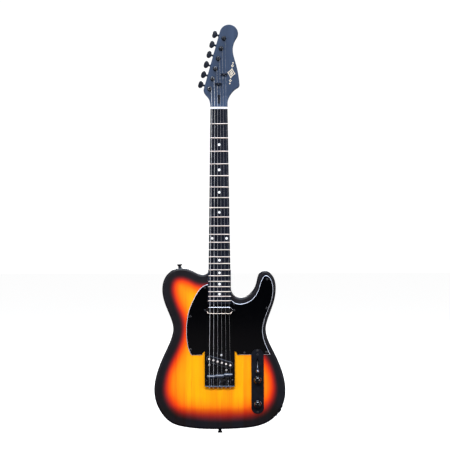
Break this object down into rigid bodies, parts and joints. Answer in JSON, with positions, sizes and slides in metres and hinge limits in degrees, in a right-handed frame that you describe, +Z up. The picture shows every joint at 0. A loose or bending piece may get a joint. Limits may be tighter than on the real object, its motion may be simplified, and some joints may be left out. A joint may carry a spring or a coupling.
{
  "type": "electric guitar",
  "caption": "Solid-body single-cutaway electric guitar with a bolt-on neck, in-line tuners, two pickups, a top-loading plate bridge with barrel saddles and a plate of controls.",
  "frame": {"origin": "foot of the end strap button: the body's butt end, on its centreline, at half its thickness", "axes": "+Z up the neck, -Y the front that the strings are on, +X to the right seen from the front"},
  "size_m": [0.3198, 0.0681, 0.9959],
  "materials": {
    "sunburst_lacquer": "satin sunburst lacquer over close-grained wood",
    "black_guard": "polished three-layer plastic, black, white, black",
    "neck_satin": "satin black stain over maple",
    "rosewood": "oiled dark fretboard wood",
    "fret_wire": "polished nickel silver",
    "white_inlay": "white plastic",
    "white_nut": "polished white synthetic bone",
    "black_metal": "black-plated steel, satin",
    "black_screw": "black oxide steel",
    "steel": "nickel-plated steel",
    "string_steel": "plain and wound steel",
    "magnet": "ground magnet rod",
    "chrome_cover": "polished chrome plate",
    "black_fibre": "vulcanised fibre and tape",
    "black_knob": "moulded, polished",
    "capacitor_film": "dipped film capacitor"
  },
  "bodies": {
    "root": {"body": "sunburst_lacquer", "pickguard": "black_guard", "control_plate": "black_metal", "small_wood_screws": "black_screw", "neck": "neck_satin", "fretboard": "rosewood", "frets": "fret_wire", "position_dots": "white_inlay", "nut": "white_nut", "truss_rod": "steel", "string_trees": "black_metal", "neck_plate": "black_metal", "neck_screws": "black_screw", "strap_buttons": "black_metal", "strap_button_screws": "black_screw", "bridge_plate": "black_metal", "bridge_screws": "black_screw", "intonation_springs": "steel", "strings": "string_steel", "machine_screws": "steel", "pickup_springs": "steel", "switch_frame": "steel", "potentiometers": "steel", "panel_nuts": "black_metal", "capacitor": "capacitor_film", "jack_plate": "black_metal", "output_jack": "steel", "wiring": "black_fibre", "tuner_housings": "black_metal", "tuner_bushings": "black_metal"},
    "neck_pickup": {"neck_pickup_cover": "chrome_cover", "neck_pickup_coil": "black_fibre"},
    "bridge_pickup": {"bridge_pickup_bobbin": "black_fibre", "bridge_pickup_magnets": "magnet", "bridge_pickup_coil": "black_fibre"},
    "selector": {"switch_lever": "steel", "switch_tip": "black_knob"},
    "volume": {"volume_shaft": "steel", "volume_knob": "black_knob"},
    "tone": {"tone_shaft": "steel", "tone_knob": "black_knob"},
    "truss_rod_nut": {"truss_rod_nut": "steel"},
    "saddle_bass": {"saddle_bass": "black_metal"},
    "intonation_screw_bass": {"intonation_screw_bass": "black_screw"},
    "saddle_middle": {"saddle_middle": "black_metal"},
    "intonation_screw_middle": {"intonation_screw_middle": "black_screw"},
    "saddle_treble": {"saddle_treble": "black_metal"},
    "intonation_screw_treble": {"intonation_screw_treble": "black_screw"},
    "tuner_key_6": {"tuner_key_6": "black_metal"},
    "tuner_post_6": {"tuner_post_6": "black_metal"},
    "tuner_key_5": {"tuner_key_5": "black_metal"},
    "tuner_post_5": {"tuner_post_5": "black_metal"},
    "tuner_key_4": {"tuner_key_4": "black_metal"},
    "tuner_post_4": {"tuner_post_4": "black_metal"},
    "tuner_key_3": {"tuner_key_3": "black_metal"},
    "tuner_post_3": {"tuner_post_3": "black_metal"},
    "tuner_key_2": {"tuner_key_2": "black_metal"},
    "tuner_post_2": {"tuner_post_2": "black_metal"},
    "tuner_key_1": {"tuner_key_1": "black_metal"},
    "tuner_post_1": {"tuner_post_1": "black_metal"}
  },
  "joints": [
    {"name": "volume_turn", "type": "hinge", "parent": "root", "child": "volume", "pos_m": [0.0919, -0.0241, 0.1205], "axis": [0, 1, 0], "range_deg": [-270, 0]},
    {"name": "tone_turn", "type": "hinge", "parent": "root", "child": "tone", "pos_m": [0.0919, -0.0241, 0.0616], "axis": [0, 1, 0], "range_deg": [-270, 0]},
    {"name": "selector_swing", "type": "hinge", "parent": "root", "child": "selector", "pos_m": [0.0919, -0.0065, 0.161], "axis": [-1, 0, 0], "range_deg": [0, 60]},
    {"name": "truss_rod_turn", "type": "hinge", "parent": "root", "child": "truss_rod_nut", "pos_m": [0, -0.0196, 0.7984], "axis": [0, 0, 1], "range_deg": [-180, 180]},
    {"name": "neck_pickup_height", "type": "slide", "parent": "root", "child": "neck_pickup", "axis": [0, -1, 0], "range_m": [-0.0025, 0.0015], "deforming": ["pickup_springs"]},
    {"name": "bridge_pickup_height", "type": "slide", "parent": "root", "child": "bridge_pickup", "axis": [0, -1, 0], "range_m": [-0.0025, 0.0015], "deforming": ["pickup_springs"]},
    {"name": "saddle_bass_slide", "type": "slide", "parent": "root", "child": "saddle_bass", "axis": [0, 0, 1], "range_m": [-0.003, 0.004], "deforming": ["intonation_springs", "strings"]},
    {"name": "intonation_screw_bass_turn", "type": "hinge", "parent": "root", "child": "intonation_screw_bass", "pos_m": [-0.0206, -0.0321, 0.104], "axis": [0, 0, 1], "continuous": true},
    {"name": "saddle_middle_slide", "type": "slide", "parent": "root", "child": "saddle_middle", "axis": [0, 0, 1], "range_m": [-0.003, 0.004], "deforming": ["intonation_springs", "strings"]},
    {"name": "intonation_screw_middle_turn", "type": "hinge", "parent": "root", "child": "intonation_screw_middle", "pos_m": [0, -0.0326, 0.104], "axis": [0, 0, 1], "continuous": true},
    {"name": "saddle_treble_slide", "type": "slide", "parent": "root", "child": "saddle_treble", "axis": [0, 0, 1], "range_m": [-0.003, 0.004], "deforming": ["intonation_springs", "strings"]},
    {"name": "intonation_screw_treble_turn", "type": "hinge", "parent": "root", "child": "intonation_screw_treble", "pos_m": [0.0206, -0.0321, 0.104], "axis": [0, 0, 1], "continuous": true},
    {"name": "tuner_6_key", "type": "hinge", "parent": "root", "child": "tuner_key_6", "pos_m": [-0.03532, -0.001, 0.83869], "axis": [-0.9619, 0, 0.2735], "continuous": true},
    {"name": "tuner_6_post", "type": "hinge", "parent": "root", "child": "tuner_post_6", "pos_m": [-0.0224, -0.021, 0.8293], "axis": [0, 1, 0], "continuous": true},
    {"name": "tuner_5_key", "type": "hinge", "parent": "root", "child": "tuner_key_5", "pos_m": [-0.02837, -0.001, 0.86317], "axis": [-0.9619, 0, 0.2735], "continuous": true},
    {"name": "tuner_5_post", "type": "hinge", "parent": "root", "child": "tuner_post_5", "pos_m": [-0.01544, -0.021, 0.85378], "axis": [0, 1, 0], "continuous": true},
    {"name": "tuner_4_key", "type": "hinge", "parent": "root", "child": "tuner_key_4", "pos_m": [-0.02141, -0.001, 0.88765], "axis": [-0.9619, 0, 0.2735], "continuous": true},
    {"name": "tuner_4_post", "type": "hinge", "parent": "root", "child": "tuner_post_4", "pos_m": [-0.00848, -0.021, 0.87826], "axis": [0, 1, 0], "continuous": true},
    {"name": "tuner_3_key", "type": "hinge", "parent": "root", "child": "tuner_key_3", "pos_m": [-0.01445, -0.001, 0.91213], "axis": [-0.9619, 0, 0.2735], "continuous": true},
    {"name": "tuner_3_post", "type": "hinge", "parent": "root", "child": "tuner_post_3", "pos_m": [-0.00152, -0.021, 0.90274], "axis": [0, 1, 0], "continuous": true},
    {"name": "tuner_2_key", "type": "hinge", "parent": "root", "child": "tuner_key_2", "pos_m": [-0.00749, -0.001, 0.93661], "axis": [-0.9619, 0, 0.2735], "continuous": true},
    {"name": "tuner_2_post", "type": "hinge", "parent": "root", "child": "tuner_post_2", "pos_m": [0.00544, -0.021, 0.92722], "axis": [0, 1, 0], "continuous": true},
    {"name": "tuner_1_key", "type": "hinge", "parent": "root", "child": "tuner_key_1", "pos_m": [-0.00053, -0.001, 0.96109], "axis": [-0.9619, 0, 0.2735], "continuous": true},
    {"name": "tuner_1_post", "type": "hinge", "parent": "root", "child": "tuner_post_1", "pos_m": [0.0124, -0.021, 0.9517], "axis": [0, 1, 0], "continuous": true}
  ],
  "couplings": [
    {"joint": "intonation_screw_bass_turn", "follows": "saddle_bass_slide", "rad_per_m": 8976},
    {"joint": "intonation_screw_middle_turn", "follows": "saddle_middle_slide", "rad_per_m": 8976},
    {"joint": "intonation_screw_treble_turn", "follows": "saddle_treble_slide", "rad_per_m": 8976},
    {"joint": "tuner_6_post", "follows": "tuner_6_key", "ratio": 0.066667},
    {"joint": "tuner_5_post", "follows": "tuner_5_key", "ratio": 0.066667},
    {"joint": "tuner_4_post", "follows": "tuner_4_key", "ratio": 0.066667},
    {"joint": "tuner_3_post", "follows": "tuner_3_key", "ratio": 0.066667},
    {"joint": "tuner_2_post", "follows": "tuner_2_key", "ratio": 0.066667},
    {"joint": "tuner_1_post", "follows": "tuner_1_key", "ratio": 0.066667}
  ]
}
